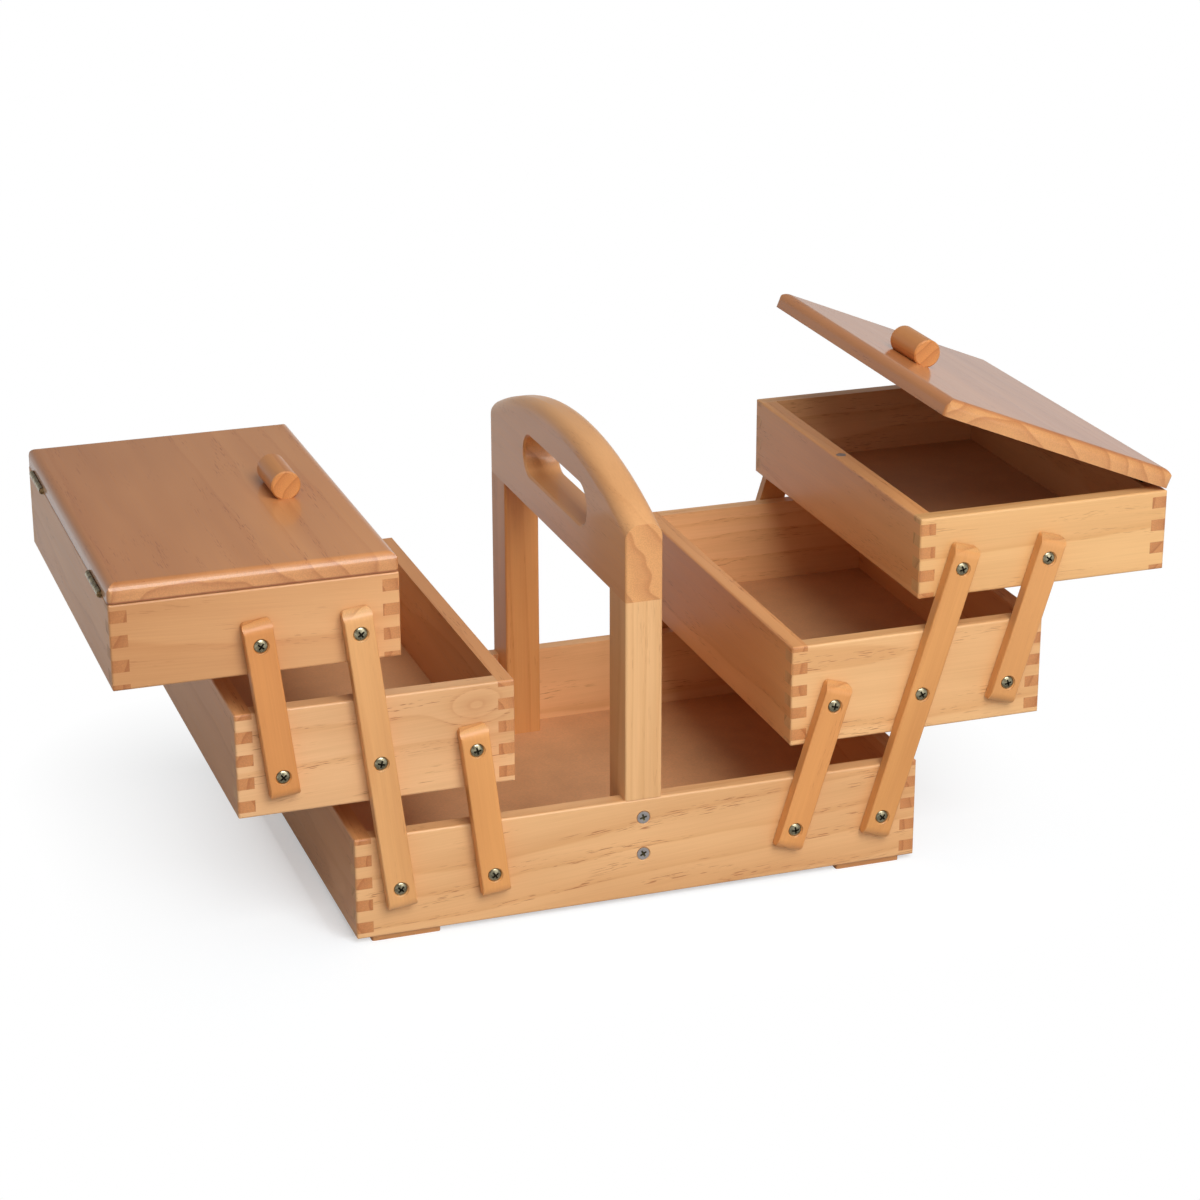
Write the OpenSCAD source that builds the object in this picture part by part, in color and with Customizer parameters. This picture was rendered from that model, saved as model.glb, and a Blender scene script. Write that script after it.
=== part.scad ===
// Cantilever sewing carrier: a base box with a handle, and on each side a middle tray,
// a top tray and a hinged lid that swing up and over on pairs of wooden arms.
// X runs along the carrier, Y from front to back, Z up. The feet stand on Z = 0.

/* [Boxes] */
// Length of the base box, left to right
base_l = 340; // [320:1:380]
// Depth of every box, front to back
box_w = 252; // [230:1:290]
// Height of the walls of the base box
base_h = 61; // [57:1:66]
// Height of the walls of a middle tray
mid_h = 61; // [57:1:66]
// Height of the walls of a top tray
top_h = 48.7; // [44:0.1:54]
// Thickness of every box wall
wall_t = 9.7; // [8.6:0.1:11]
// Rounding sanded along the outer edges of the boxes
edge_r = 1.4; // [0.6:0.1:2]
// Finger heights along a corner of the base box and the middle trays
deep_fingers = 9; // [7:2:11]
// Finger heights along a corner of a top tray
shallow_fingers = 7; // [5:2:9]

/* [Floors and feet] */
// Thickness of the floor panels
floor_t = 4; // [3:0.5:5]
// Depth of the grooves that hold a floor panel
groove_d = 5; // [3:0.5:6]
// Underside of the base floor above the lower edge of its walls
base_floor_up = 8.3; // [6:0.1:10]
// Underside of a tray floor above the lower edge of its walls
tray_floor_up = 5; // [4:0.1:8]
// Length of a foot pad along the base
foot_l = 40; // [25:1:60]
// Width of a foot pad
foot_w = 14; // [10:1:25]
// Thickness of a foot pad
foot_t = 3; // [2:0.5:6]
// Distance from the end of the base to a foot pad
foot_in = 9; // [3:1:20]
// Distance from the front or back face of the base to a foot pad
foot_back = 1.5; // [0.5:0.5:6]

/* [Linkage] */
// Distance between neighbouring pivots of an arm
link_l = 77.7; // [74:0.1:84]
// Height of the base pivots above the lower edge of the base walls
base_pivot_up = 30.6; // [28:0.1:33]
// Each pair of trays has its pivots this much lower in its walls than the box below
pivot_step = 6.3; // [5:0.1:7]
// Width of an arm
arm_w = 16.5; // [14:0.1:19]
// Thickness of an arm
arm_t = 7; // [6:0.1:9]
// Length of an arm beyond its last pivot
arm_end = 13.5; // [11:0.1:16]
// Radius of the corners of an arm
arm_corner_r = 2.6; // [2:0.1:6]
// Rounding of the ends of an arm towards its outer face
arm_nose_r = 6.6; // [1:0.1:6.8]
// Rounding of the long outer edges of an arm
arm_edge_r = 1; // [0.6:0.1:2.5]
// Gap between the arms and the walls behind them
arm_gap = 0.4; // [0.3:0.1:1]
// Gap between a folded tray and what it rests on
stack_gap = 0.4; // [0.3:0.1:1]
// Gap between a folded tray and the handle
post_gap = 1; // [1:0.1:4]

/* [Pose of the photographed carrier] */
// Outward lean of the left arms, in degrees
left_arm_angle = 6.8; // [-30:0.1:30]
// Outward lean of the right arms, in degrees
right_arm_angle = 17.1; // [-30:0.1:30]
// Opening of the right lid, in degrees
right_lid_angle = 22.2; // [0:0.1:90]

/* [Screws] */
// Radius of the shank of every screw
shank_r = 2; // [1.6:0.1:2.4]
// Radius of the head of a pivot screw
head_r = 4.4; // [3.8:0.1:5]
// Height of the cone under a screw head
head_cone = 2.4; // [1.8:0.1:2.8]
// Height of the dome of a pivot screw
head_dome = 1.3; // [0.6:0.1:2]
// Depth of the rim of a pivot screw below the face of its arm
head_sink = 0.5; // [0.2:0.1:1]
// Length of a pivot screw inside its wall
screw_bite = 7.5; // [5:0.1:8]
// Radius of the head of a handle screw
handle_head_r = 4.1; // [3.6:0.1:4.8]
// Length of a handle screw inside the post
handle_bite = 14; // [8:0.5:17]
// Height of the lower handle screw of each wall above the lower edge of the base walls
handle_screw_low = 26.6; // [20:0.1:32]
// Distance between the two handle screws of a wall
handle_screw_pitch = 22.7; // [16:0.1:26]
// Radial clearance of a screw or pin in its bore
run_fit = 0.06; // [0.02:0.01:0.1]
// Clearance around a screw head
head_gap = 0.2; // [0.1:0.05:0.4]

/* [Handle] */
// Thickness of the handle, left to right
handle_t = 22; // [18:0.1:24]
// Depth of a handle post, front to back
post_d = 28; // [24:0.5:34]
// Height of the posts above the rim of the base
post_h = 120; // [116:1:140]
// Height of the middle of the arch above the posts
arch_rise = 71.1; // [66:0.1:80]
// Height of the ends of the arch above the posts
arch_shoulder = 45.1; // [38:0.1:55]
// Rounding of both upper edges of the arch
arch_round = 8.2; // [4:0.1:8.5]
// Length of the grip slot
grip_l = 117; // [100:1:130]
// Height of the grip slot
grip_h = 25; // [22:0.5:28]
// Middle of the grip slot above the posts
grip_up = 33; // [28:0.5:36]
// Bevel around both mouths of the grip slot
grip_bevel = 1.2; // [0.5:0.1:2]
// Radius of the dowels between posts and arch
dowel_r = 4; // [3:0.1:5]
// Length of a dowel
dowel_l = 40; // [24:1:50]
// Distance between the two dowels of a post
dowel_pitch = 13; // [11:0.5:15]

/* [Lids] */
// Thickness of a lid board
lid_t = 10.5; // [9:0.1:13]
// Rounding of the upper edges of a lid
lid_round = 5.5; // [2:0.1:7]
// Radius of the corners of a lid, seen from above
lid_corner_r = 3; // [1:0.1:6]
// Gap between a closed lid and its tray
lid_gap = 0.4; // [0.3:0.1:0.8]
// Radius of the knob dowel
knob_r = 8.5; // [6:0.1:11]
// Length of the knob dowel
knob_l = 36; // [25:1:50]
// Depth of the flat planed on the knob where it is glued to the lid
knob_flat = 1; // [0.5:0.1:2]
// Distance of the knob from the inner edge of the lid
knob_in = 35.5; // [20:0.5:50]
// Bevel around the ends of the knob
knob_bevel = 0.8; // [0.3:0.1:1.5]
// Radius of the magnet in the rim of the tray
magnet_r = 3; // [2:0.1:4]
// Height of the magnet
magnet_h = 3; // [2:0.1:5]
// Radius of the strike disc in the lid
strike_r = 4; // [3:0.1:4.5]
// Thickness of the strike disc
strike_t = 1.2; // [0.8:0.1:2]

/* [Hinges] */
// Length of a hinge
hinge_l = 34; // [28:1:42]
// Distance of the middle of a hinge from the middle of the lid
hinge_y = 91; // [70:1:95]
// Radius of a hinge knuckle
knuckle_r = 2; // [1.7:0.1:2.2]
// Radius of the hinge pin
pin_r = 0.9; // [0.7:0.1:1.1]
// Thickness of a hinge leaf
leaf_t = 1; // [0.8:0.1:1.2]
// Reach of a hinge leaf across the rim of the tray
leaf_w = 7.8; // [6:0.1:8]
// Distance of the hinge pin outside the face of the tray
pin_out = 0.5; // [0.3:0.1:1]
// Gap between moving hinge parts
hinge_gap = 0.3; // [0.2:0.05:0.4]

/* [Hidden] */

$fn = 48;

// Sides of the carrier: left and right along X, front and back along Y
left = -1;
right = 1;
front = -1;
back = 1;

// Overrun of every cut beyond the face that it opens
cut_over = 1;
// Play of a floor panel in its grooves, on each side
panel_play = 0.2;

// Wood and metal colours
pine = "#E3B27A";
pine_end = "#D29B62";
pine_arm = "#DFA366";
pine_lid = "#C98C5C";
board_brown = "#A9805A";
brass = "#B9A46A";
steel = "#C9C4BE";

// Heights of the base box, measured from what the carrier stands on
base_z = foot_t;
rim_z = base_z + base_h;
base_floor_top = base_z + base_floor_up + floor_t;
seam_z = rim_z + post_h;

// A tray is half of the base between its end and the handle
tray_l = base_l / 2 - handle_t / 2 - post_gap;
tray_middle = base_l / 2 - tray_l / 2;

// Pivot heights in each box, above the lower edge of its own walls
mid_pivot_up = base_pivot_up - pivot_step;
top_pivot_up = mid_pivot_up - pivot_step;

// A folded arm leans inward until the trays rest on each other.
// Pivots of one box stand as far apart as a folded arm reaches sideways.
fold_rise = base_h + stack_gap - pivot_step;
fold_angle = acos(fold_rise / link_l);
pivot_pitch = link_l * sin(fold_angle);
pivot_x = tray_middle + pivot_pitch;
pivot_z = base_z + base_pivot_up;

// Places of the pivots along each box, from its middle
base_pivot_xs = [for (side = [left, right], inner = [0, 1]) side * (pivot_x - inner * pivot_pitch)];
mid_pivot_xs = [for (i = [-1, 0, 1]) i * pivot_pitch];
function top_pivot_xs(side) = [0, -side * pivot_pitch];

// Outer radius of the arch, from its rise over half of the depth of the carrier
arch_drop = arch_rise - arch_shoulder;
arch_r = (pow(box_w / 2, 2) + pow(arch_drop, 2)) / (2 * arch_drop);

// Length of the middle and of the outer knuckles of a hinge
knuckle_l = (hinge_l - 2 * hinge_gap) / 3;

function lean_of(side) = side == left ? left_arm_angle : right_arm_angle;
function open_of(side) = side == left ? 0 : right_lid_angle;

// One step from a pivot to the next pivot of the same arm
function arm_step(side) = [side * link_l * sin(lean_of(side)), 0, link_l * cos(lean_of(side))];

// Outer pivot of the base, and the pivots of the long arm in the trays above it
function base_pivot(side) = [side * pivot_x, 0, pivot_z];
function mid_pivot(side) = base_pivot(side) + arm_step(side);
function top_pivot(side) = mid_pivot(side) + arm_step(side);

// Middle of the lower edge of each tray
function mid_place(side) = mid_pivot(side) - [0, 0, mid_pivot_up];
function top_place(side) = top_pivot(side) + [side * pivot_pitch, 0, -top_pivot_up];

// Hinge pin of a lid, halfway between the rim of the tray and the closed lid
function hinge_pin(side) = top_place(side) + [side * (tray_l / 2 + pin_out), 0, top_h + lid_gap / 2];

// Flat shapes

module rounded_rect(w, h, r) {
    square([w - 2 * r, h], center = true);
    square([w, h - 2 * r], center = true);
    for (x = [-1, 1], y = [-1, 1])
        translate([x * (w / 2 - r), y * (h / 2 - r)]) circle(r);
}

// Rectangle on the X axis with its two upper corners rounded
module top_rounded(w, h, r) {
    translate([-w / 2, 0]) square([w, h - r]);
    translate([r - w / 2, 0]) square([w - 2 * r, h]);
    for (x = [-1, 1])
        translate([x * (w / 2 - r), h - r]) circle(r);
}

// Boxes

// Solid block on Z = 0 with all of its edges rounded
module eased_block(l, w, h) {
    intersection() {
        linear_extrude(h) rounded_rect(l, w, edge_r);
        translate([0, w / 2, h / 2]) rotate([90, 0, 0]) linear_extrude(w) rounded_rect(l, h, edge_r);
        translate([-l / 2, 0, h / 2]) rotate([90, 0, 90]) linear_extrude(l) rounded_rect(w, h, edge_r);
    }
}

// Every second finger of the corners, full size, at one wall of the box.
// first is 0 or 1 and tells which finger the row starts with, at the bottom.
module finger_row(l, h, fingers, first, x, y) {
    f = h / fingers;
    for (i = [first : 2 : fingers]) {
        low = i == 0 ? -cut_over : (i - 0.5) * f;
        high = i == fingers ? h + cut_over : (i + 0.5) * f;
        translate([x * (l - wall_t + cut_over) / 2, y * (box_w - wall_t + cut_over) / 2, (low + high) / 2])
            cube([wall_t + cut_over, wall_t + cut_over, high - low], center = true);
    }
}

// Space of the floor panel in the grooves of the walls
module panel_space(l, floor_up, play) {
    translate([0, 0, floor_up + floor_t / 2])
        cube([l - 2 * (wall_t - groove_d + play), box_w - 2 * (wall_t - groove_d + play), floor_t],
            center = true);
}

// Front or back wall of a box
module long_wall(l, h, fingers, first, floor_up, y) {
    difference() {
        intersection() {
            eased_block(l, box_w, h);
            translate([0, y * (box_w - wall_t + cut_over) / 2, h / 2])
                cube([l + cut_over, wall_t + cut_over, h + cut_over], center = true);
        }
        for (x = [left, right])
            finger_row(l, h, fingers, 1 - first, x, y);
        panel_space(l, floor_up, 0);
        children();
    }
}

// Left or right wall of a box
module short_wall(l, h, fingers, first, floor_up, x) {
    difference() {
        intersection() {
            eased_block(l, box_w, h);
            translate([x * (l - wall_t + cut_over) / 2, 0, h / 2])
                cube([wall_t + cut_over, box_w + cut_over, h + cut_over], center = true);
        }
        for (y = [front, back])
            finger_row(l, h, fingers, first, x, y);
        panel_space(l, floor_up, 0);
        children();
    }
}

module floor_panel(l, floor_up) {
    color(board_brown) panel_space(l, floor_up, panel_play);
}

// Screws

// Screw along Y with its head towards the front. Y = 0 is the plane of the rim of its head.
module screw(rim_r, dome, length) {
    rotate([-90, 0, 0]) {
        cylinder(r = shank_r, h = length);
        cylinder(r1 = rim_r, r2 = shank_r, h = head_cone);
        if (dome > 0)
            screw_dome(rim_r, dome);
    }
}

// Dome of a screw head, above the plane of its rim
module screw_dome(rim_r, dome) {
    dome_r = (rim_r * rim_r + dome * dome) / (2 * dome);
    intersection() {
        translate([0, 0, dome_r - dome]) sphere(dome_r);
        translate([0, 0, -dome]) cylinder(r = rim_r, h = dome);
    }
}

// Bore and head seat for a screw, in the same place as the screw
module screw_bore(rim_r, sink, length) {
    rotate([-90, 0, 0]) {
        translate([0, 0, -sink - cut_over]) cylinder(r = shank_r + run_fit, h = sink + cut_over + length);
        cylinder(r1 = rim_r + head_gap, r2 = shank_r + head_gap, h = head_cone);
        translate([0, 0, -sink - cut_over]) cylinder(r = rim_r + head_gap, h = sink + cut_over);
    }
}

// Distance from the face of a wall to the rim plane of its pivot screws
pivot_rim = arm_gap + arm_t - head_sink;

// Places children at the face of the front or back wall, facing away from the box
module on_wall(y) {
    if (y == front)
        translate([0, -box_w / 2, 0]) children();
    else
        mirror([0, 1, 0]) translate([0, -box_w / 2, 0]) children();
}

module pivot_screw() {
    translate([0, -pivot_rim, 0]) screw(head_r, head_dome, pivot_rim + screw_bite);
}

// Pivot screws of a box, at the given places along X
module pivot_screws(places, up) {
    for (x = places, y = [front, back])
        translate([x, 0, up]) on_wall(y) pivot_screw();
}

// Pilot holes of the pivot screws of a box, in whatever board stands there
module pilot_holes(places, up) {
    for (x = places, y = [front, back])
        translate([x, 0, up]) on_wall(y)
            translate([0, -cut_over, 0]) rotate([-90, 0, 0])
                cylinder(r = shank_r + run_fit, h = cut_over + screw_bite + run_fit);
}

// Base box

module base_long_wall(y) {
    color(pine)
        translate([0, 0, base_z])
            long_wall(base_l, base_h, deep_fingers, 0, base_floor_up, y) {
                pilot_holes(base_pivot_xs, base_pivot_up);
                for (i = [0, 1])
                    translate([0, 0, handle_screw_low + i * handle_screw_pitch])
                        on_wall(y) screw_bore(handle_head_r, 0, wall_t + cut_over);
            }
}

module base_end(x) {
    color(pine_end)
        translate([0, 0, base_z])
            short_wall(base_l, base_h, deep_fingers, 0, base_floor_up, x)
                pilot_holes(base_pivot_xs, base_pivot_up);
}

module base_front_wall() { base_long_wall(front); }
module base_back_wall() { base_long_wall(back); }
module base_left_end() { base_end(left); }
module base_right_end() { base_end(right); }

module base_floor() {
    translate([0, 0, base_z]) floor_panel(base_l, base_floor_up);
}

module base_feet() {
    color(pine_end)
        for (x = [left, right], y = [front, back])
            translate([x * (base_l / 2 - foot_in - foot_l / 2), y * (box_w / 2 - foot_back - foot_w / 2), 0])
                linear_extrude(foot_t) rounded_rect(foot_l, foot_w, edge_r);
}

module base_pivot_screws() {
    color(brass) translate([0, 0, base_z]) pivot_screws(base_pivot_xs, base_pivot_up);
}

// Handle

// Places children at the two dowels of a post, in the plane of the seam
module at_dowels(y) {
    for (i = [-1, 1])
        translate([0, y * (box_w - post_d) / 2 + i * dowel_pitch / 2, seam_z]) children();
}

// Post that stands on the wall and reaches down inside it to the floor
module handle_post(y) {
    color(pine)
        difference() {
            intersection() {
                translate([0, y * (box_w - post_d) / 2, 0])
                    linear_extrude(seam_z) rounded_rect(handle_t, post_d, edge_r);
                translate([-handle_t / 2, 0, 0]) rotate([90, 0, 90]) linear_extrude(handle_t)
                    post_outline(y);
            }
            at_dowels(y)
                translate([0, 0, -dowel_l / 2]) cylinder(r = dowel_r + run_fit, h = dowel_l / 2 + cut_over);
            for (i = [0, 1])
                translate([0, 0, base_z + handle_screw_low + i * handle_screw_pitch])
                    on_wall(y) rotate([-90, 0, 0])
                        cylinder(r = shank_r + run_fit, h = wall_t + handle_bite + run_fit);
        }
}

// Side view of a post, rebated over the wall
module post_outline(y) {
    outer = y * box_w / 2;
    tongue = y * (box_w / 2 - wall_t);
    inner = y * (box_w / 2 - post_d);
    polygon([[outer, seam_z], [outer, rim_z], [tongue, rim_z], [tongue, base_floor_top],
        [inner, base_floor_top], [inner, seam_z]]);
}

module handle_post_front() { handle_post(front); }
module handle_post_back() { handle_post(back); }

// Arched crosspiece with a grip slot, rounded over along its upper edges
module handle_arch() {
    color(pine_arm)
        difference() {
            intersection() {
                translate([0, 0, seam_z])
                    linear_extrude(arch_rise + cut_over) rounded_rect(handle_t, box_w, edge_r);
                translate([0, 0, seam_z + arch_rise - arch_r]) rotate([0, 90, 0]) arch_disc();
            }
            translate([0, 0, seam_z + grip_up]) grip_slot();
            for (y = [front, back])
                at_dowels(y)
                    translate([0, 0, -cut_over]) cylinder(r = dowel_r + run_fit, h = dowel_l / 2 + cut_over);
        }
}

// Disc whose rim is rounded over on both faces: its upper stretch is the top of the arch
module arch_disc() {
    rotate_extrude($fn = 96) {
        translate([0, -handle_t / 2]) square([arch_r - arch_round, handle_t]);
        translate([0, arch_round - handle_t / 2]) square([arch_r, handle_t - 2 * arch_round]);
        for (i = [-1, 1])
            translate([arch_r - arch_round, i * (handle_t / 2 - arch_round)]) circle(arch_round);
    }
}

// Slot with round ends through the arch, bevelled at both mouths
module grip_slot() {
    run = grip_l - grip_h;
    rotate([0, 90, 0]) {
        for (i = [-1, 1])
            translate([0, i * run / 2, 0]) {
                cylinder(d = grip_h, h = handle_t + 2 * cut_over, center = true);
                for (side = [0, 1])
                    mirror([0, 0, side]) translate([0, 0, handle_t / 2 - grip_bevel])
                        cylinder(r1 = grip_h / 2, r2 = grip_h / 2 + grip_bevel + cut_over,
                            h = grip_bevel + cut_over);
            }
        rotate([90, 0, 0]) linear_extrude(run, center = true) grip_section();
    }
}

// Cross-section of the straight stretch of the grip slot
module grip_section() {
    square([grip_h, handle_t + 2 * cut_over], center = true);
    for (side = [0, 1])
        mirror([0, side])
            polygon([[-grip_h / 2, handle_t / 2 - grip_bevel], [grip_h / 2, handle_t / 2 - grip_bevel],
                [grip_h / 2 + grip_bevel + cut_over, handle_t / 2 + cut_over],
                [-grip_h / 2 - grip_bevel - cut_over, handle_t / 2 + cut_over]]);
}

module handle_dowels() {
    color(pine_end)
        for (y = [front, back])
            at_dowels(y) cylinder(r = dowel_r, h = dowel_l - 2 * run_fit, center = true);
}

module handle_screws() {
    color(steel)
        for (y = [front, back], i = [0, 1])
            translate([0, 0, base_z + handle_screw_low + i * handle_screw_pitch])
                on_wall(y) screw(handle_head_r, 0, wall_t + handle_bite);
}

// Arms

// Arm with its first pivot at the origin and its back against Y = 0, reaching up over some links
module arm(links) {
    length = links * link_l + 2 * arm_end;
    color(pine_arm)
        difference() {
            translate([0, 0, length / 2 - arm_end])
                intersection() {
                    rotate([90, 0, 0]) linear_extrude(arm_t) rounded_rect(arm_w, length, arm_corner_r);
                    rotate([90, 0, 90]) linear_extrude(arm_w, center = true)
                        rotate(90) top_rounded(length, arm_t, arm_nose_r);
                    linear_extrude(length, center = true)
                        rotate(180) top_rounded(arm_w, arm_t, arm_edge_r);
                }
            for (i = [0 : links])
                translate([0, head_sink - arm_t, i * link_l]) screw_bore(head_r, head_sink, arm_t + cut_over);
        }
}

// Arm of one side, at its place on the front or back of the boxes
module placed_arm(side, y, pivot, links) {
    translate([pivot[0], 0, pivot[2]])
        on_wall(y) translate([0, -arm_gap, 0]) rotate([0, side * lean_of(side), 0]) arm(links);
}

module long_arm(side, y) {
    placed_arm(side, y, base_pivot(side), 2);
}

module lower_arm(side, y) {
    placed_arm(side, y, base_pivot(side) - [side * pivot_pitch, 0, 0], 1);
}

module upper_arm(side, y) {
    placed_arm(side, y, mid_pivot(side) + [side * pivot_pitch, 0, 0], 1);
}

module left_long_arm_front() { long_arm(left, front); }
module left_long_arm_back() { long_arm(left, back); }
module left_lower_arm_front() { lower_arm(left, front); }
module left_lower_arm_back() { lower_arm(left, back); }
module left_upper_arm_front() { upper_arm(left, front); }
module left_upper_arm_back() { upper_arm(left, back); }
module right_long_arm_front() { long_arm(right, front); }
module right_long_arm_back() { long_arm(right, back); }
module right_lower_arm_front() { lower_arm(right, front); }
module right_lower_arm_back() { lower_arm(right, back); }
module right_upper_arm_front() { upper_arm(right, front); }
module right_upper_arm_back() { upper_arm(right, back); }

// Middle trays

module mid_long_wall(side, y) {
    color(pine)
        translate(mid_place(side))
            long_wall(tray_l, mid_h, deep_fingers, 0, tray_floor_up, y)
                pilot_holes(mid_pivot_xs, mid_pivot_up);
}

module mid_end(side, x) {
    color(pine_end)
        translate(mid_place(side))
            short_wall(tray_l, mid_h, deep_fingers, 0, tray_floor_up, x)
                pilot_holes(mid_pivot_xs, mid_pivot_up);
}

module mid_floor(side) {
    translate(mid_place(side)) floor_panel(tray_l, tray_floor_up);
}

module mid_pivot_screws(side) {
    color(brass) translate(mid_place(side)) pivot_screws(mid_pivot_xs, mid_pivot_up);
}

module left_mid_front_wall() { mid_long_wall(left, front); }
module left_mid_back_wall() { mid_long_wall(left, back); }
module left_mid_outer_wall() { mid_end(left, left); }
module left_mid_inner_wall() { mid_end(left, right); }
module left_mid_floor() { mid_floor(left); }
module left_mid_pivot_screws() { mid_pivot_screws(left); }
module right_mid_front_wall() { mid_long_wall(right, front); }
module right_mid_back_wall() { mid_long_wall(right, back); }
module right_mid_outer_wall() { mid_end(right, right); }
module right_mid_inner_wall() { mid_end(right, left); }
module right_mid_floor() { mid_floor(right); }
module right_mid_pivot_screws() { mid_pivot_screws(right); }

// Top trays

module top_long_wall(side, y) {
    color(pine)
        translate(top_place(side))
            long_wall(tray_l, top_h, shallow_fingers, 1, tray_floor_up, y)
                pilot_holes(top_pivot_xs(side), top_pivot_up);
}

module top_end(side, x) {
    translate(top_place(side))
        short_wall(tray_l, top_h, shallow_fingers, 1, tray_floor_up, x)
            pilot_holes(top_pivot_xs(side), top_pivot_up);
}

module top_outer_wall(side) {
    color(pine_end)
        difference() {
            top_end(side, side);
            hinge_mortises(side, -1);
        }
}

module top_inner_wall(side) {
    color(pine_end)
        difference() {
            top_end(side, -side);
            translate(magnet_place(side)) cylinder(r = magnet_r + run_fit, h = magnet_h + cut_over);
        }
}

module top_floor(side) {
    translate(top_place(side)) floor_panel(tray_l, tray_floor_up);
}

module top_pivot_screws(side) {
    color(brass) translate(top_place(side)) pivot_screws(top_pivot_xs(side), top_pivot_up);
}

// Lower face of the magnet, in the middle of the rim of the inner wall
function magnet_place(side) = top_place(side) + [-side * (tray_l - wall_t) / 2, 0, top_h - magnet_h];

module tray_magnet(side) {
    color(steel) translate(magnet_place(side)) cylinder(r = magnet_r, h = magnet_h);
}

module left_top_front_wall() { top_long_wall(left, front); }
module left_top_back_wall() { top_long_wall(left, back); }
module left_top_outer_wall() { top_outer_wall(left); }
module left_top_inner_wall() { top_inner_wall(left); }
module left_top_floor() { top_floor(left); }
module left_top_pivot_screws() { top_pivot_screws(left); }
module left_tray_magnet() { tray_magnet(left); }
module right_top_front_wall() { top_long_wall(right, front); }
module right_top_back_wall() { top_long_wall(right, back); }
module right_top_outer_wall() { top_outer_wall(right); }
module right_top_inner_wall() { top_inner_wall(right); }
module right_top_floor() { top_floor(right); }
module right_top_pivot_screws() { top_pivot_screws(right); }
module right_tray_magnet() { tray_magnet(right); }

// Hinges

// Places children at both hinges of a lid, with the pin along Y and the tray towards -X
module at_hinges(side) {
    for (y = [front, back])
        translate(hinge_pin(side) + [0, y * hinge_y, 0])
            mirror([side == left ? 1 : 0, 0, 0]) children();
}

// One leaf of a hinge: its plate below or above the pin, and its own knuckles.
// up is -1 for the leaf in the tray and 1 for the leaf in the lid.
module leaf(up, knuckles) {
    reach = pin_out + leaf_w;
    plate_start = knuckle_r + hinge_gap;
    difference() {
        union() {
            translate([-(plate_start + reach) / 2, 0, up * (lid_gap + leaf_t) / 2])
                cube([reach - plate_start, hinge_l, leaf_t], center = true);
            for (i = knuckles)
                translate([0, i * (knuckle_l + hinge_gap), 0]) {
                    rotate([90, 0, 0]) cylinder(r = knuckle_r, h = knuckle_l, center = true);
                    translate([-plate_start / 2, 0, up * (lid_gap + leaf_t) / 2])
                        cube([plate_start, knuckle_l, leaf_t], center = true);
                }
        }
        if (up > 0)
            rotate([90, 0, 0]) cylinder(r = pin_r + run_fit, h = hinge_l, center = true);
    }
}

module hinge_tray_leaves(side) {
    color(brass)
        at_hinges(side) {
            leaf(-1, [-1, 1]);
            rotate([90, 0, 0]) cylinder(r = pin_r, h = hinge_l, center = true);
        }
}

module hinge_lid_leaves(side) {
    color(brass) on_lid(side) at_hinges(side) leaf(1, [0]);
}

// Mortises for both leaves of one kind, with the hollow that the knuckles turn in
module hinge_mortises(side, up) {
    at_hinges(side) {
        rotate([90, 0, 0]) cylinder(r = knuckle_r + hinge_gap, h = hinge_l + 2 * hinge_gap, center = true);
        translate([-(pin_out + leaf_w) / 2, 0, up * (lid_gap + leaf_t) / 2])
            cube([pin_out + leaf_w, hinge_l, leaf_t], center = true);
    }
}

// Lids

// Turns children with the lid about its hinge pin, as far as the lid stands open
module on_lid(side) {
    translate(hinge_pin(side))
        rotate([0, side * open_of(side), 0])
            translate(-hinge_pin(side)) children();
}

// Middle of the underside of a closed lid
function lid_place(side) = top_place(side) + [0, 0, top_h + lid_gap];

module lid_board(side) {
    color(pine_lid)
        on_lid(side)
            difference() {
                translate(lid_place(side)) lid_blank();
                hinge_mortises(side, 1);
                translate(strike_place(side) - [0, 0, cut_over])
                    cylinder(r = strike_r + run_fit, h = strike_t + cut_over);
            }
}

// Board with its upper edges rounded over
module lid_blank() {
    intersection() {
        linear_extrude(lid_t) rounded_rect(tray_l, box_w, lid_corner_r);
        translate([0, box_w / 2, 0]) rotate([90, 0, 0]) linear_extrude(box_w)
            top_rounded(tray_l, lid_t, lid_round);
        translate([-tray_l / 2, 0, 0]) rotate([90, 0, 90]) linear_extrude(tray_l)
            top_rounded(box_w, lid_t, lid_round);
    }
}

// Short dowel, planed flat where it lies on the lid
module lid_knob(side) {
    color(pine_arm)
        on_lid(side)
            translate(lid_place(side) + [side * (knob_in - tray_l / 2), 0, lid_t])
                difference() {
                    translate([0, 0, knob_r - knob_flat]) rotate([90, 0, 0])
                        translate([0, 0, -knob_l / 2]) knob_dowel();
                    translate([0, 0, -knob_r]) cube([2 * knob_r, knob_l + cut_over, 2 * knob_r], center = true);
                }
}

module knob_dowel() {
    cylinder(r1 = knob_r - knob_bevel, r2 = knob_r, h = knob_bevel);
    translate([0, 0, knob_bevel]) cylinder(r = knob_r, h = knob_l - 2 * knob_bevel);
    translate([0, 0, knob_l - knob_bevel]) cylinder(r1 = knob_r, r2 = knob_r - knob_bevel, h = knob_bevel);
}

// Lower face of the strike disc, above the magnet
function strike_place(side) = lid_place(side) - [side * (tray_l - wall_t) / 2, 0, 0];

module lid_strike(side) {
    color(steel) on_lid(side) translate(strike_place(side)) cylinder(r = strike_r, h = strike_t);
}

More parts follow.
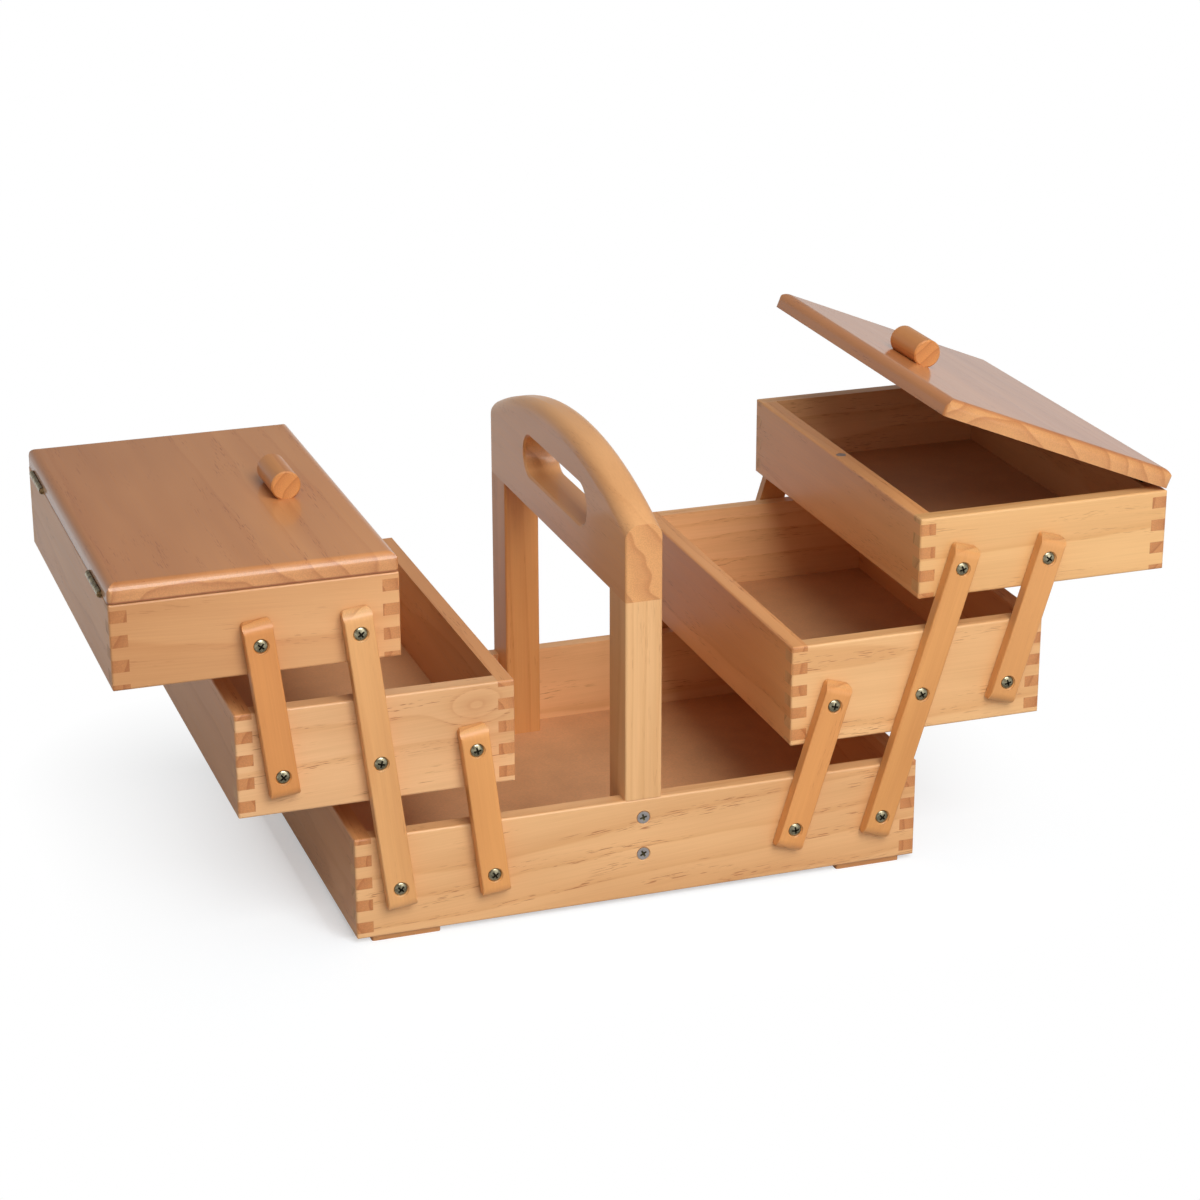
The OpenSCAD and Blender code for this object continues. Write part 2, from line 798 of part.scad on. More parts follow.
module left_hinge_tray_leaves() { hinge_tray_leaves(left); }
module left_lid_board() { lid_board(left); }
module left_lid_knob() { lid_knob(left); }
module left_lid_strike() { lid_strike(left); }
module left_hinge_lid_leaves() { hinge_lid_leaves(left); }
module right_hinge_tray_leaves() { hinge_tray_leaves(right); }
module right_lid_board() { lid_board(right); }
module right_lid_knob() { lid_knob(right); }
module right_lid_strike() { lid_strike(right); }
module right_hinge_lid_leaves() { hinge_lid_leaves(right); }

base_front_wall();
base_back_wall();
base_left_end();
base_right_end();
base_floor();
base_feet();
handle_arch();
handle_post_front();
handle_post_back();
handle_dowels();
handle_screws();
base_pivot_screws();
left_long_arm_front();
left_long_arm_back();
left_lower_arm_front();
left_lower_arm_back();
left_upper_arm_front();
left_upper_arm_back();
left_mid_front_wall();
left_mid_back_wall();
left_mid_outer_wall();
left_mid_inner_wall();
left_mid_floor();
left_mid_pivot_screws();
left_top_front_wall();
left_top_back_wall();
left_top_outer_wall();
left_top_inner_wall();
left_top_floor();
left_top_pivot_screws();
left_tray_magnet();
left_hinge_tray_leaves();
left_lid_board();
left_lid_knob();
left_lid_strike();
left_hinge_lid_leaves();
right_long_arm_front();
right_long_arm_back();
right_lower_arm_front();
right_lower_arm_back();
right_upper_arm_front();
right_upper_arm_back();
right_mid_front_wall();
right_mid_back_wall();
right_mid_outer_wall();
right_mid_inner_wall();
right_mid_floor();
right_mid_pivot_screws();
right_top_front_wall();
right_top_back_wall();
right_top_outer_wall();
right_top_inner_wall();
right_top_floor();
right_top_pivot_screws();
right_tray_magnet();
right_hinge_tray_leaves();
right_lid_board();
right_lid_knob();
right_lid_strike();
right_hinge_lid_leaves();
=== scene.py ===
import math
import random

import bmesh
import bpy
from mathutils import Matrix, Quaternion, Vector


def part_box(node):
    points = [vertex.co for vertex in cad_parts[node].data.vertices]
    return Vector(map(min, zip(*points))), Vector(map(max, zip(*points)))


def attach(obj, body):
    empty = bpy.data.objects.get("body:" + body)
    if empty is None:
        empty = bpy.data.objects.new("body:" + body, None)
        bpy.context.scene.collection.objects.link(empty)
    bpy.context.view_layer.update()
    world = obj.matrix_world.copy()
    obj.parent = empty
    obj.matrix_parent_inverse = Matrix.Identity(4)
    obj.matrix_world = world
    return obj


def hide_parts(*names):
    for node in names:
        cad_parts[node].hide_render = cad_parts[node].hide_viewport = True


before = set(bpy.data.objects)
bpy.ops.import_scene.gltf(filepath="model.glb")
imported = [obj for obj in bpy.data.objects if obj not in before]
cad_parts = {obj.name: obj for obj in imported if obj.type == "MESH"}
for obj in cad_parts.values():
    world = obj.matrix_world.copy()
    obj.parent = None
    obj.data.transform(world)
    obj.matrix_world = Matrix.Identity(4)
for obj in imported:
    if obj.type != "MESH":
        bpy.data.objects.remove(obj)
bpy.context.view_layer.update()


# The photograph's view: a long lens a little above the carrier, from the left of its front,
# turned by a seventh of a degree so that the base lies as it does in the picture.
MM = 0.001
camera_azimuth = math.radians(-19.0457)
camera_elevation = math.radians(20.4986)
camera_roll = math.radians(-0.1361)
camera_distance = 1849.411 * MM
camera_target = Vector((17.5067, 0, 138.2082)) * MM
camera_lens = 92.723
camera_sensor = 36

backward = Vector((
    math.sin(camera_azimuth) * math.cos(camera_elevation),
    -math.cos(camera_azimuth) * math.cos(camera_elevation),
    math.sin(camera_elevation),
))
camera_data = bpy.data.cameras.new("photograph_camera")
camera_data.lens = camera_lens
camera_data.sensor_width = camera_sensor
camera = bpy.data.objects.new("photograph_camera", camera_data)
camera.location = camera_target + backward * camera_distance
camera.rotation_mode = "QUATERNION"
level_view = (-backward).to_track_quat("-Z", "Y")
camera.rotation_quaternion = level_view @ Quaternion((0, 0, 1), camera_roll)
bpy.context.scene.collection.objects.link(camera)
bpy.context.scene.camera = camera
bpy.context.scene.view_settings.view_transform = "Standard"


# The white table of the studio. Close to the carrier it takes its soft shadow as a real
# painted table does, and further out it runs into the plain white of the background. As
# mirrored in the object it is painted darker towards the base, a painted shade, and brightens further out.
def add_node(tree, kind, sockets=(), **settings):
    made = tree.nodes.new(kind)
    for name, value in settings.items():
        setattr(made, name, value)
    for socket, value in dict(sockets).items():
        if isinstance(value, bpy.types.NodeSocket):
            tree.links.new(value, made.inputs[socket])
        else:
            made.inputs[socket].default_value = value
    return made


def reckon(tree, operation, first, second=0.0):
    return add_node(tree, "ShaderNodeMath", {0: first, 1: second}, operation=operation).outputs[0]


def vector_step(tree, operation, first, second=(0, 0, 0)):
    step = add_node(tree, "ShaderNodeVectorMath", {0: first, 1: second}, operation=operation)
    return step.outputs["Value"] if operation in ("DOT_PRODUCT", "LENGTH") else step.outputs["Vector"]


def ramp(tree, value, low, high, start=0.0, end=1.0, interpolation="LINEAR"):
    return add_node(
        tree, "ShaderNodeMapRange",
        {"Value": value, "From Min": low, "From Max": high, "To Min": start, "To Max": end},
        interpolation_type=interpolation,
    ).outputs["Result"]


def blend_colours(tree, share, first, second, blend_type="MIX"):
    blend = add_node(tree, "ShaderNodeMix", {0: share, 6: first, 7: second}, data_type="RGBA")
    blend.blend_type = blend_type
    return blend.outputs[2]


def seen_directly(tree):
    light_path = add_node(tree, "ShaderNodeLightPath")
    seen = reckon(tree, "ADD", light_path.outputs["Is Camera Ray"], light_path.outputs["Is Glossy Ray"])
    seen = reckon(tree, "ADD", seen, light_path.outputs["Is Transmission Ray"])
    return reckon(tree, "MINIMUM", seen, 1.0)


def mirrored_down(tree, share):
    mirrored = add_node(tree, "ShaderNodeLightPath").outputs["Is Glossy Ray"]
    loss = reckon(tree, "MULTIPLY", mirrored, reckon(tree, "SUBTRACT", 1.0, share))
    return reckon(tree, "SUBTRACT", 1.0, loss)


def clear_material(name):
    made = bpy.data.materials.new(name)
    made.use_nodes = True
    made.node_tree.nodes.clear()
    return made, made.node_tree


def show_surface(tree, shader):
    add_node(tree, "ShaderNodeOutputMaterial", {"Surface": shader.outputs[0]})


plain_white = (1, 1, 1, 1)
table_size = 30.0
table_white = (0.60, 0.60, 0.60, 1)
table_seen = (0.66, 0.71, 0.745, 1)
table_lift = 0.405
# Shares of the lift that the table keeps in reflections: low close to the base, a painted shade on the
# mirrored table, and higher further out
mirrored_in_painted_shade = 0.19
mirrored_far = 0.75
mirrored_painted_shade_span = (0.05, 0.45)
shadow_middle = (-0.010, 0.012, 0)
base_half = (0.170, 0.126, 0)
shadow_far = 0.140
shadow_fall = 0.45

half = table_size / 2
table_corners = [(-half, -half, 0), (half, -half, 0), (half, half, 0), (-half, half, 0)]
table_mesh = bpy.data.meshes.new("studio_table")
table_mesh.from_pydata(table_corners, [], [(0, 1, 2, 3)])
studio_table = bpy.data.objects.new("studio_table", table_mesh)
bpy.context.scene.collection.objects.link(studio_table)

table_paint, tree = clear_material("studio_table_paint")
seen_white = blend_colours(tree, seen_directly(tree), table_white, table_seen)
paint = add_node(tree, "ShaderNodeBsdfDiffuse", {"Color": seen_white})
lifted = reckon(tree, "MULTIPLY", seen_directly(tree), table_lift)
# In reflections the lift close to the base is cut: painted shade on the mirrored table
lifted = reckon(tree, "MULTIPLY", lifted, mirrored_down(tree, mirrored_in_painted_shade))
lift = add_node(tree, "ShaderNodeEmission", {"Strength": lifted})
near_table = add_node(tree, "ShaderNodeAddShader", {0: paint.outputs[0], 1: lift.outputs[0]})

table_place = add_node(tree, "ShaderNodeTexCoord").outputs["Object"]
from_shadow = vector_step(tree, "SUBTRACT", table_place, shadow_middle)
beyond_base = vector_step(tree, "SUBTRACT", vector_step(tree, "ABSOLUTE", from_shadow), base_half)
far_off = vector_step(tree, "LENGTH", vector_step(tree, "MAXIMUM", beyond_base))
# As mirrored, the table brightens from the base outwards: painted shade close to it
mirrored_painted_shade_ramp = ramp(tree, far_off, *mirrored_painted_shade_span, mirrored_in_painted_shade, mirrored_far)
far_table = add_node(tree, "ShaderNodeEmission", {
    "Color": plain_white, "Strength": mirrored_down(tree, mirrored_painted_shade_ramp),
})
fading = ramp(tree, far_off, 0.0, shadow_far)
white_share = reckon(tree, "MULTIPLY", reckon(tree, "POWER", fading, shadow_fall), seen_directly(tree))
whole_table = add_node(tree, "ShaderNodeMixShader", {
    0: white_share, 1: near_table.outputs[0], 2: far_table.outputs[0],
})
show_surface(tree, whole_table)
table_mesh.materials.append(table_paint)


# Studio light: a large soft box high in front, weak ones at the right in front and overhead,
# and the even light of the white room, which shows as plain white where it is seen.
light_aim = Vector((0, 0, 0.12))
soft_boxes = {
    "front_soft_box": dict(place=(0.20, -1.65, 1.65), width=1.3, height=1.2, power=34),
    "right_soft_box": dict(place=(0.90, -1.90, 0.70), width=1.0, height=1.0, power=5),
    "overhead_soft_box": dict(place=(0.40, -0.60, 1.85), width=0.9, height=0.9, power=3),
}
for name, make in soft_boxes.items():
    lamp = bpy.data.lights.new(name, "AREA")
    lamp.shape = "RECTANGLE"
    lamp.size = make["width"]
    lamp.size_y = make["height"]
    lamp.energy = make["power"]
    holder = bpy.data.objects.new(name, lamp)
    holder.location = make["place"]
    holder.rotation_euler = (light_aim - Vector(make["place"])).to_track_quat("-Z", "Y").to_euler()
    bpy.context.scene.collection.objects.link(holder)

room_light = 0.31
horizon_mirrored = 0.49
room_mirrored = 0.26
horizon_span = (0.05, 0.30)
room = bpy.data.worlds.new("white_room")
bpy.context.scene.world = room
room.use_nodes = True
tree = room.node_tree
tree.nodes.clear()
direction = add_node(tree, "ShaderNodeTexCoord").outputs["Generated"]
height = add_node(tree, "ShaderNodeSeparateXYZ", {0: direction}).outputs[2]
mirrored_room = ramp(tree, height, *horizon_span, horizon_mirrored, room_mirrored)
room_seen = mirrored_down(tree, mirrored_room)
room_strength = ramp(tree, seen_directly(tree), 0.0, 1.0, room_light, room_seen)
room_shade = add_node(tree, "ShaderNodeBackground", {"Color": plain_white, "Strength": room_strength})
add_node(tree, "ShaderNodeOutputWorld", {"Surface": room_shade.outputs[0]})


# The base box: four pine boards, finger-jointed and glued at the corners, sanded and sprayed
# with satin lacquer. The fingers of the other board show their darker end grain in each corner.
ACROSS_BOX = Vector((1, 0, 0))
INTO_BOX = Vector((0, 1, 0))
UPRIGHT = Vector((0, 0, 1))

# Rates per mm of each pattern, along the grain, across it and into the board, and the steps
# in the pattern from one seed to the next
sway_rate = (1 / 170, 1 / 55, 1 / 55)
uneven_rate = (1 / 400, 1 / 24, 1 / 24)
fibre_rate = (0.018, 0.95, 0.95)
cloud_rate = (1 / 190, 1 / 32, 1 / 32)
streak_rate = (0.10, 1.9, 1.9)
band_rate = (1 / 70, 1 / 9, 1 / 9)
pore_rate = (0.1, 1.6, 1.6)
seed_step = (311.0, 97.0, 53.0)

# Noise at which a pattern begins to count and counts in full
noise_span = (0.3, 0.7)
row_span = (0.40, 0.52)
crowd_span = (0.56, 0.68)
streak_span = (0.60, 0.68)
pore_span = (0.35, 0.65)

# Parts of a year, which grows from 0 to 1, and how many years uneven growth can add
growth_part = (0.10, 0.86)
line_part = (0.72, 0.92)
resin_part = (0.70, 0.85)
next_year_part = (0.93, 1.0)
uneven_years = 1.4

# Shares of the board's own colour that each part of the wood keeps, the tints of its tone, the
# mm from its middle at which a drift is complete, and the resin in a knot
early_share = (1.02, 1.03, 1.04)
late_share = (0.86, 0.74, 0.62)
resin_share = (0.50, 0.30, 0.20)
end_ring_share = (0.80, 0.70, 0.64)
# The share kept under the painted shade at the lower edge of a lid
seam_shade_share = (0.40, 0.25, 0.16)
dull_tint = (0.84, 0.77, 0.70, 1)
fresh_tint = (1.09, 1.11, 1.13, 1)
tone_reach = 80
knot_resin = 0.16

# Painted shade at the lower edge of a lid, where it closes on its tray: its strength, the mm over
# which it fades upwards, and how far a face has to turn to the flat of the lid to lose it
seam_shade_strength = 0.8
seam_shade_fade = (0.4, 1.4)
seam_shade_turn = (0.3, 0.6)


def eased_ramp(tree, value, low, high, start=0.0, end=1.0):
    return ramp(tree, value, low, high, start, end, "SMOOTHSTEP")


def noise(tree, place, rate, detail=2.0, roughness=0.5):
    return add_node(tree, "ShaderNodeTexNoise", {
        "Vector": vector_step(tree, "MULTIPLY", place, rate),
        "Scale": 1.0, "Detail": detail, "Roughness": roughness,
    })


def over_noise(tree, value, start, end):
    return ramp(tree, value, *noise_span, start, end)


def shaded(colour, share):
    return (colour[0] * share[0], colour[1] * share[1], colour[2] * share[2], 1)


def turned_to(tree, direction):
    normal = add_node(tree, "ShaderNodeTexCoord").outputs["Normal"]
    return vector_step(tree, "DOT_PRODUCT", normal, direction)


# Millimetres along the grain, across it and into the board
def place_in_board(tree, middle, grain, face, run_out):
    across = face.cross(grain) + grain * run_out
    place = add_node(tree, "ShaderNodeTexCoord").outputs["Object"]
    from_middle = vector_step(tree, "SUBTRACT", place, middle)
    return [vector_step(tree, "DOT_PRODUCT", from_middle, axis / MM) for axis in (grain, across, face)]


def sway_of_grain(tree, own, sway):
    wave = noise(tree, own, sway_rate).outputs["Color"]
    wave = vector_step(tree, "SUBTRACT", wave, (0.5, 0.5, 0.5))
    return vector_step(tree, "MULTIPLY", wave, (0, sway * 2, sway * 2))


# Growth rings round the heart of the tree, which lies outside the board. Knots push them aside
def growth_rings(tree, own, swayed, ring, heart, knots):
    from_heart = vector_step(tree, "SUBTRACT", swayed, (0, heart[0], heart[1]))
    from_heart = vector_step(tree, "MULTIPLY", from_heart, (0, 1, 1))
    age = reckon(tree, "DIVIDE", vector_step(tree, "LENGTH", from_heart), ring)
    uneven = noise(tree, own, uneven_rate, detail=1.0).outputs[0]
    age = reckon(tree, "ADD", age, reckon(tree, "MULTIPLY", uneven, uneven_years))
    knot_dark = None
    for knot_along, knot_across, knot_l, knot_w, knot_push in knots:
        from_knot = vector_step(tree, "SUBTRACT", swayed, (knot_along, knot_across, 0))
        from_knot = vector_step(tree, "MULTIPLY", from_knot, (1 / knot_l, 1 / knot_w, 0))
        far = vector_step(tree, "LENGTH", from_knot)
        close = reckon(tree, "EXPONENT", reckon(tree, "MULTIPLY", reckon(tree, "MULTIPLY", far, far), -1.0))
        age = reckon(tree, "ADD", age, reckon(tree, "MULTIPLY", close, knot_push))
        knot_dark = close if knot_dark is None else reckon(tree, "ADD", knot_dark, close)
    return reckon(tree, "FRACT", age), knot_dark


# A year darkens slowly, has its dark line near its end, and the next one starts light
def late_wood_in(tree, year):
    growth = eased_ramp(tree, year, *growth_part, 0.0, 0.5)
    line = eased_ramp(tree, year, *line_part, 0.0, 0.5)
    before_next = eased_ramp(tree, year, *next_year_part, 1.0, 0.0)
    return reckon(tree, "MULTIPLY", reckon(tree, "ADD", growth, line), before_next), before_next


# Slow changes of tone over the board, with fine ones from its fibres
def tone_of_board(tree, own, fibre, across_mm, along_mm, drift, slope):
    cloud = noise(tree, own, cloud_rate).outputs[0]
    tone = reckon(tree, "ADD", over_noise(tree, fibre, 0.07, 0.33), over_noise(tree, cloud, 0.0, 0.6))
    for place, change in ((across_mm, drift), (along_mm, slope)):
        tone = reckon(tree, "ADD", tone, ramp(tree, place, -tone_reach, tone_reach, -change, change))
    return blend_colours(tree, tone, dull_tint, fresh_tint)


# Short streaks of resin, which crowd in bands and stand in rows late in a year
def resin_dashes(tree, own, wave, year, before_next, dashes):
    streak = noise(tree, vector_step(tree, "ADD", own, wave), streak_rate, detail=1.0).outputs[0]
    band = noise(tree, own, band_rate, detail=1.0).outputs[0]
    row = reckon(tree, "MULTIPLY", eased_ramp(tree, year, *resin_part), before_next)
    row = reckon(tree, "MULTIPLY", row, eased_ramp(tree, band, *row_span))
    crowd = reckon(tree, "ADD", eased_ramp(tree, band, *crowd_span), row)
    crowd = reckon(tree, "MINIMUM", crowd, 1.0)
    dash = reckon(tree, "MULTIPLY", eased_ramp(tree, streak, *streak_span), crowd)
    return reckon(tree, "MULTIPLY", dash, dashes)


# End grain takes the lacquer in another way than the faces, and shows the rings and pores
def end_grain(tree, own, late_wood, colour, end_shade):
    pores = noise(tree, own, pore_rate).outputs[0]
    pore_tone = ramp(tree, pores, *pore_span, 0.90, 1.05)
    end_light = shaded(colour, end_shade)
    ringed = blend_colours(tree, late_wood, end_light, shaded(end_light, end_ring_share))
    return blend_colours(tree, 1.0, ringed, pore_tone, "MULTIPLY")


# Painted shade along the lower edge of a lid, standing in for the shaded gap where it closes on
# its tray. seam is half the thickness of the lid
def painted_seam_shade(tree, depth_mm, face, seam):
    flat_on = reckon(tree, "ABSOLUTE", turned_to(tree, face))
    edge_on = eased_ramp(tree, flat_on, *seam_shade_turn, seam_shade_strength, 0.0)
    low, high = seam_shade_fade
    at_seam = eased_ramp(tree, depth_mm, low - seam, high - seam, 1.0, 0.0)
    return reckon(tree, "MULTIPLY", edge_on, at_seam)


# ring is the width of a year in mm, and heart the middle of the tree across and into the board.
# run_out is the slant of the grain, and drift and slope change the tone across and along it
def lacquered_pine(
    name, middle, grain, face, colour, ring=9.0, heart=(0.0, -55.0), run_out=0.0, sway=7.0,
    dashes=0.6, contrast=0.5, knots=(), drift=0.0, slope=0.0, end_shade=(0.84, 0.73, 0.65), gloss=0.1,
    seam=None, seed=0.0,
):
    made, tree = clear_material(name)
    along_mm, across_mm, depth_mm = place_in_board(tree, middle, grain, face, run_out)
    spot = add_node(tree, "ShaderNodeCombineXYZ", {0: along_mm, 1: across_mm, 2: depth_mm}).outputs[0]
    own = vector_step(tree, "ADD", spot, tuple(seed * step for step in seed_step))
    wave = sway_of_grain(tree, own, sway)
    year, knot_dark = growth_rings(tree, own, vector_step(tree, "ADD", spot, wave), ring, heart, knots)
    late_wood, before_next = late_wood_in(tree, year)
    late = reckon(tree, "MULTIPLY", late_wood, contrast)
    ringed = blend_colours(tree, late, shaded(colour, early_share), shaded(colour, late_share))
    fibre = noise(tree, own, fibre_rate, detail=4.0, roughness=0.62).outputs[0]
    tone = tone_of_board(tree, own, fibre, across_mm, along_mm, drift, slope)
    toned = blend_colours(tree, 1.0, ringed, tone, "MULTIPLY")
    dash = resin_dashes(tree, own, wave, year, before_next, dashes)
    if knot_dark is not None:
        dash = reckon(tree, "MAXIMUM", dash, reckon(tree, "MULTIPLY", knot_dark, knot_resin))
    streaked = blend_colours(tree, dash, toned, shaded(colour, resin_share))
    end = eased_ramp(tree, reckon(tree, "ABSOLUTE", turned_to(tree, grain)), 0.5, 0.8)
    all_over = blend_colours(tree, end, streaked, end_grain(tree, own, late_wood, colour, end_shade))
    # Painted shade along the lower edge of a lid
    if seam is not None:
        seam_shade = painted_seam_shade(tree, depth_mm, face, seam)
        all_over = blend_colours(tree, seam_shade, all_over, shaded(colour, seam_shade_share))

    # Satin lacquer that follows the fibres a little
    matt = reckon(tree, "ADD", over_noise(tree, fibre, 0.36, 0.46), reckon(tree, "MULTIPLY", end, 0.12))
    relief = reckon(tree, "SUBTRACT", reckon(tree, "MULTIPLY", fibre, 0.6), dash)
    bump = add_node(tree, "ShaderNodeBump", {"Strength": 0.16, "Distance": 0.0004, "Height": relief})
    wood = add_node(tree, "ShaderNodeBsdfPrincipled", {
        "Base Color": all_over, "Roughness": matt, "Normal": bump.outputs[0],
        "Coat Weight": gloss, "Coat Roughness": 0.12, "Specular IOR Level": 0.5,
    })
    show_surface(tree, wood)
    return made


def finish_node(node, material):
    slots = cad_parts[node].data.materials
    slots.clear()
    slots.append(material)


def finish_in_wood(node, name=None, **figure):
    low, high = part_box(node)
    finish_node(node, lacquered_pine(name or node + "_pine", (low + high) / 2, **figure))


front_pine = (0.80, 0.455, 0.205, 1)
back_pine = (0.88, 0.500, 0.232, 1)
end_pine = (0.740, 0.355, 0.138, 1)
long_end_shade = (0.93, 0.88, 0.86)
base_boards = {
    "base_front_wall": dict(
        grain=ACROSS_BOX, face=-INTO_BOX, colour=front_pine, heart=(46, -60), ring=10, run_out=-0.07,
        dashes=0.85, end_shade=long_end_shade, seed=1.3,
    ),
    "base_back_wall": dict(
        grain=ACROSS_BOX, face=INTO_BOX, colour=back_pine, heart=(-20, -50), ring=13, run_out=0.03,
        end_shade=long_end_shade, seed=2.1,
    ),
    "base_left_end": dict(
        grain=INTO_BOX, face=-ACROSS_BOX, colour=end_pine, heart=(10, -60), seed=3.7,
    ),
    "base_right_end": dict(
        grain=INTO_BOX, face=ACROSS_BOX, colour=end_pine, heart=(-14, -60), ring=8, seed=4.2,
    ),
}
for board, figure in base_boards.items():
    finish_in_wood(board, **figure)


# The floor of the base: a panel of smooth brown hardboard that lies in grooves of the walls.
# Its upper face is pressed smooth, and its lower face keeps the weave of the press screen.
base_floor_brown = (0.68, 0.345, 0.158, 1)
to_mm = (1 / MM, 1 / MM, 1 / MM)
speck_rate = (0.7, 0.7, 0.7)
mottle_rate = (1 / 38, 1 / 38, 1 / 38)
weave_rate = 3.1


def hardboard(name, brown, seed):
    made, tree = clear_material(name)
    place = vector_step(tree, "MULTIPLY", add_node(tree, "ShaderNodeTexCoord").outputs["Object"], to_mm)
    own = vector_step(tree, "ADD", place, (seed * 57.0, seed * 23.0, 0))
    speck = noise(tree, own, speck_rate, detail=4.0, roughness=0.7).outputs[0]
    mottle = noise(tree, own, mottle_rate, detail=3.0, roughness=0.6).outputs[0]
    fine_tone = over_noise(tree, speck, 0.90, 1.09)
    tone = reckon(tree, "MULTIPLY", fine_tone, over_noise(tree, mottle, 0.92, 1.08))
    under = eased_ramp(tree, turned_to(tree, UPRIGHT), -0.5, -0.9)
    parts = add_node(tree, "ShaderNodeSeparateXYZ", {0: place}).outputs
    warp = reckon(tree, "SINE", reckon(tree, "MULTIPLY", parts["X"], weave_rate))
    weft = reckon(tree, "SINE", reckon(tree, "MULTIPLY", parts["Y"], weave_rate))
    weave = reckon(tree, "MULTIPLY", reckon(tree, "MULTIPLY", warp, weft), under)
    relief = reckon(tree, "ADD", reckon(tree, "MULTIPLY", speck, 0.3), weave)
    bump = add_node(tree, "ShaderNodeBump", {"Strength": 0.2, "Distance": 0.0003, "Height": relief})
    matt = reckon(tree, "ADD", over_noise(tree, speck, 0.42, 0.55), reckon(tree, "MULTIPLY", under, 0.25))
    board = add_node(tree, "ShaderNodeBsdfPrincipled", {
        "Base Color": blend_colours(tree, 1.0, brown, tone, "MULTIPLY"), "Roughness": matt,
        "Normal": bump.outputs[0], "Specular IOR Level": 0.4,
    })
    show_surface(tree, board)
    return made


finish_node("base_floor", hardboard("base_floor_hardboard", base_floor_brown, seed=1.0))


# Four thin foot pads of the same pine, glued under the corners of the base a little way in
# from its edges.
foot_pine = (0.57, 0.27, 0.10, 1)
finish_in_wood(
    "base_feet", "foot_pine", grain=ACROSS_BOX, face=-UPRIGHT, colour=foot_pine, ring=6, seed=5.5,
)


# The handle: two posts, rebated over the front and back walls, and an arched crosspiece with
# a grip slot, glued and dowelled on top. Its wood is a little more orange than the boards.
pale_post_pine = (0.81, 0.470, 0.212, 1)
orange_post_pine = (0.77, 0.360, 0.120, 1)
arch_pine = (0.83, 0.425, 0.172, 1)
dowel_beech = (0.72, 0.47, 0.26, 1)
posts = {
    "handle_post_front": dict(colour=pale_post_pine, seed=6.1),
    "handle_post_back": dict(colour=orange_post_pine, seed=7.4),
}
for post, figure in posts.items():
    finish_in_wood(
        post, grain=UPRIGHT, face=-INTO_BOX, ring=8, heart=(90, -20), sway=2.5, dashes=0.3, contrast=0.4,
        **figure,
    )
finish_in_wood(
    "handle_arch", grain=INTO_BOX, face=ACROSS_BOX, colour=arch_pine, ring=16, heart=(-60, -90), sway=4,
    dashes=0.35, contrast=0.22, end_shade=(0.90, 0.83, 0.72), gloss=0.35, seed=8.9,
)
finish_in_wood(
    "handle_dowels", "handle_dowel_beech", grain=UPRIGHT, face=-INTO_BOX, colour=dowel_beech, ring=2.5,
    dashes=0.2, contrast=0.4, seed=9.2,
)


# The screws of the handle posts: zinc-plated steel with flat countersunk heads and a cross
# recess, driven flush into the front and back walls.
screws_apart = 12
sharp_edge = math.radians(38)
tarnish_rate = (0.5, 0.5, 0.5)
polish_rate = (4.0, 4.0, 4.0)


def turned_form(form, rings, angles, place, outward, sideways, slots):
    upward = outward.cross(sideways)
    rows = []
    for reach, height in rings:
        row = []
        for angle in angles:
            radius = reach(angle) if callable(reach) else reach
            rise = height(radius) if callable(height) else height
            flat = sideways * math.cos(angle) + upward * math.sin(angle)
            row.append(form.verts.new((place + flat * radius + outward * rise) * MM))
        rows.append(row)
    count = len(angles)
    for inner, outer, slot in zip(rows, rows[1:], slots):
        for i in range(count):
            j = (i + 1) % count
            face = form.faces.new((inner[i], outer[i], outer[j], inner[j]))
            face.material_index = slot
            face.smooth = True
    return rows


def cross_screw(
    form, place, outward, turn, head_r, dome, cone, shank_r, length, wing_l, wing_w, cross_depth,
):
    sideways = Quaternion(outward, turn) @ UPRIGHT.cross(outward).normalized()
    wing_edge = math.degrees(math.asin(wing_w / wing_l))
    steps = (-45, -38, -30, -22, -wing_edge, -6, 6, wing_edge, 22, 30, 38)
    angles = [math.radians(90 * wing + step) for wing in range(4) for step in steps]
    sphere_r = (head_r ** 2 + dome ** 2) / (2 * dome) if dome else None

    def crown(radius):
        return math.sqrt(sphere_r ** 2 - radius ** 2) - (sphere_r - dome) if dome else 0.0

    def wing_outline(angle, share=1.0, beyond=0.0):
        off = (angle + math.pi / 4) % (math.pi / 2) - math.pi / 4
        reach = wing_w / max(abs(math.sin(off)), 1e-6)
        return min(wing_l, reach) * share + beyond

    # From the middle of the recess up to its lip, then over the head and its rim to the tip
    floor = crown(0) - cross_depth
    edge_drop = 0.12
    rim_r = head_r * 0.985
    recess = [
        (lambda a: wing_outline(a, 0.12), floor),
        (lambda a: wing_outline(a, 0.62), floor + cross_depth * 0.12),
        (lambda a: wing_outline(a, 0.94), lambda r: crown(r) - edge_drop),
    ]
    head_and_shank = [
        (lambda a: wing_outline(a, 1.0, 0.07), crown),
        (lambda a: max(wing_outline(a, 1.0, 0.3), head_r * 0.60), crown),
        (head_r * 0.78, crown),
        (head_r * 0.93, crown),
        (rim_r, lambda r: crown(r) - 0.03),
        (head_r, -edge_drop),
        (rim_r, -0.25),
        (shank_r, -cone),
        (shank_r, -length + shank_r),
        (shank_r * 0.15, -length),
    ]
    # The recess takes the dark metal: grime, and painted shade in the hollow of the cross
    bright, dark = 0, 1
    slots = [dark] * len(recess) + [bright] * (len(head_and_shank) - 1)
    rows = turned_form(form, recess + head_and_shank, angles, place, outward, sideways, slots)
    for row, slot in ((rows[0], dark), (rows[-1], bright)):
        cap = form.faces.new(row)
        cap.material_index = slot
        cap.smooth = True


